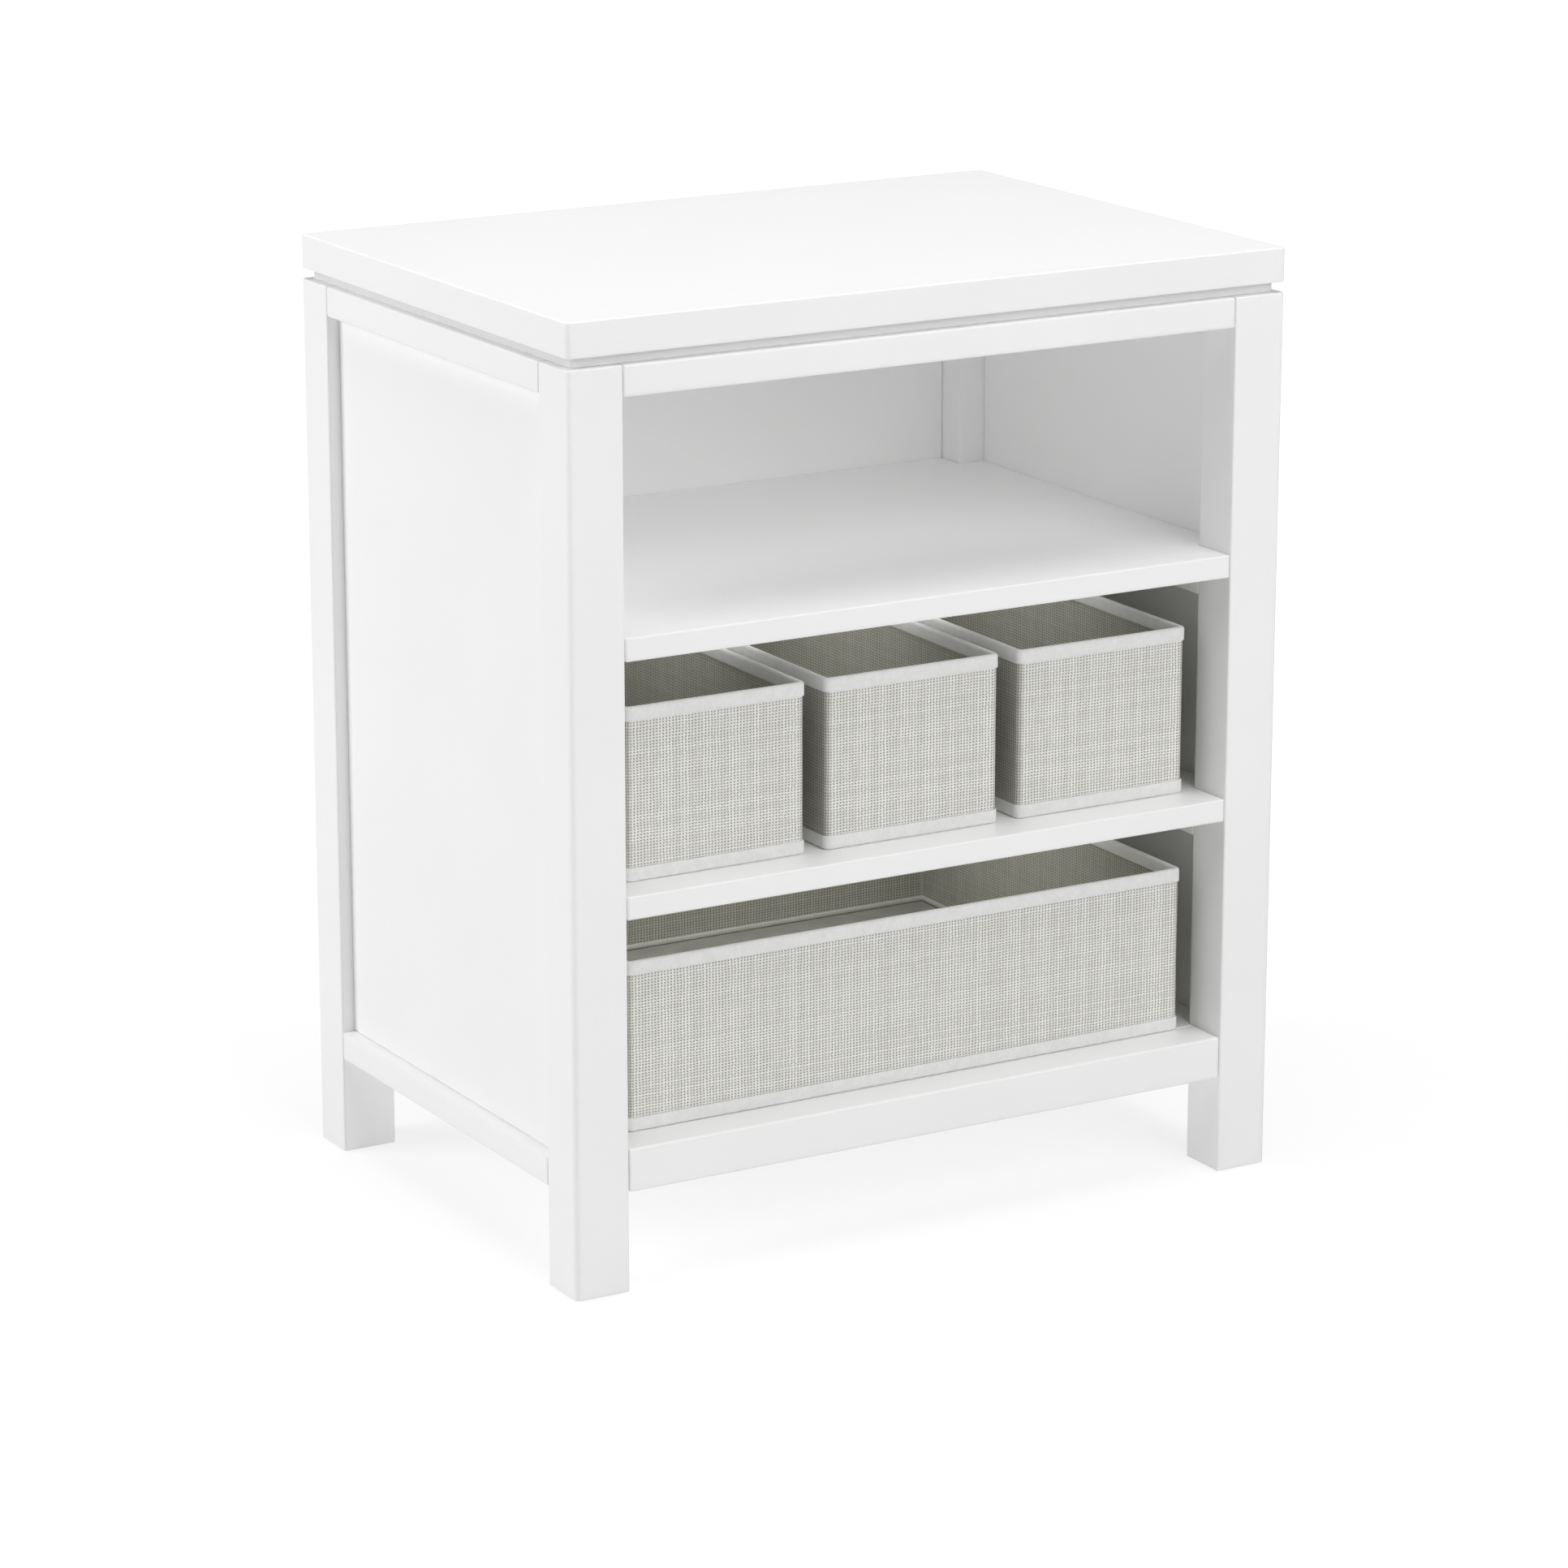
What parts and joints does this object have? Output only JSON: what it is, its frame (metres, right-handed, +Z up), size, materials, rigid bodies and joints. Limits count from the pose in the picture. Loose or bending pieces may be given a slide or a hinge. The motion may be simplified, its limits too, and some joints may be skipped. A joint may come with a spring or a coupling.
{
  "type": "changing table",
  "caption": "Changing table with a flat thick top on square posts, an open upper compartment and pull-out fabric bins on the shelves below.",
  "frame": {"origin": "on the floor under the middle of the table", "axes": "+Z up, -Y towards the open front, +X to the right when facing the front"},
  "size_m": [0.77, 0.54, 0.914],
  "materials": {
    "white_paint": "satin white paint over wood and fibreboard",
    "woven_fabric": "coarse basket weave, light grey beige",
    "felt_binding": "smooth felt-like binding, off white",
    "lining_fabric": "plain lining, olive grey",
    "beech": "bare beech",
    "zinc_steel": "zinc plated",
    "nylon": "moulded nylon"
  },
  "bodies": {
    "carcass": {"top_slab": "white_paint", "top_spacer": "white_paint", "post_front_left": "white_paint", "post_front_right": "white_paint", "post_rear_left": "white_paint", "post_rear_right": "white_paint", "rail_top_front": "white_paint", "rail_top_back": "white_paint", "rail_top_left": "white_paint", "rail_top_right": "white_paint", "rail_bottom_front": "white_paint", "rail_bottom_back": "white_paint", "rail_bottom_left": "white_paint", "rail_bottom_right": "white_paint", "side_panel_left": "white_paint", "side_panel_right": "white_paint", "back_panel": "white_paint", "shelf_upper": "white_paint", "shelf_middle": "white_paint", "shelf_bottom": "white_paint", "cleat_upper_left": "white_paint", "cleat_upper_right": "white_paint", "cleat_middle_left": "white_paint", "cleat_middle_right": "white_paint", "foot_glide_front_left": "nylon", "foot_glide_front_right": "nylon", "foot_glide_rear_left": "nylon", "foot_glide_rear_right": "nylon", "dowel_top_front_left": "beech", "dowel_top_front_right": "beech", "dowel_top_back_left": "beech", "dowel_top_back_right": "beech", "dowel_bottom_front_left": "beech", "dowel_bottom_front_right": "beech", "dowel_bottom_back_left": "beech", "dowel_bottom_back_right": "beech", "top_screw_front_left": "zinc_steel", "top_screw_front_right": "zinc_steel", "top_screw_rear_left": "zinc_steel", "top_screw_rear_right": "zinc_steel", "cleat_screw_upper_left": "zinc_steel", "cleat_screw_upper_right": "zinc_steel", "cleat_screw_middle_left": "zinc_steel", "cleat_screw_middle_right": "zinc_steel"},
    "bin_left": {"bin_left_shell": "woven_fabric", "bin_left_rim_binding": "felt_binding", "bin_left_foot_binding": "felt_binding", "bin_left_base_board": "lining_fabric"},
    "bin_middle": {"bin_middle_shell": "woven_fabric", "bin_middle_rim_binding": "felt_binding", "bin_middle_foot_binding": "felt_binding", "bin_middle_base_board": "lining_fabric"},
    "bin_right": {"bin_right_shell": "woven_fabric", "bin_right_rim_binding": "felt_binding", "bin_right_foot_binding": "felt_binding", "bin_right_base_board": "lining_fabric"},
    "bin_wide": {"bin_wide_shell": "woven_fabric", "bin_wide_rim_binding": "felt_binding", "bin_wide_foot_binding": "felt_binding", "bin_wide_base_board": "lining_fabric"}
  },
  "joints": [
    {"name": "bin_left_pull", "type": "slide", "parent": "carcass", "child": "bin_left", "axis": [0, -1, 0], "range_m": [0, 0.53]},
    {"name": "bin_middle_pull", "type": "slide", "parent": "carcass", "child": "bin_middle", "axis": [0, -1, 0], "range_m": [0, 0.53]},
    {"name": "bin_right_pull", "type": "slide", "parent": "carcass", "child": "bin_right", "axis": [0, -1, 0], "range_m": [0, 0.53]},
    {"name": "bin_wide_pull", "type": "slide", "parent": "carcass", "child": "bin_wide", "axis": [0, -1, 0], "range_m": [0, 0.53]}
  ]
}
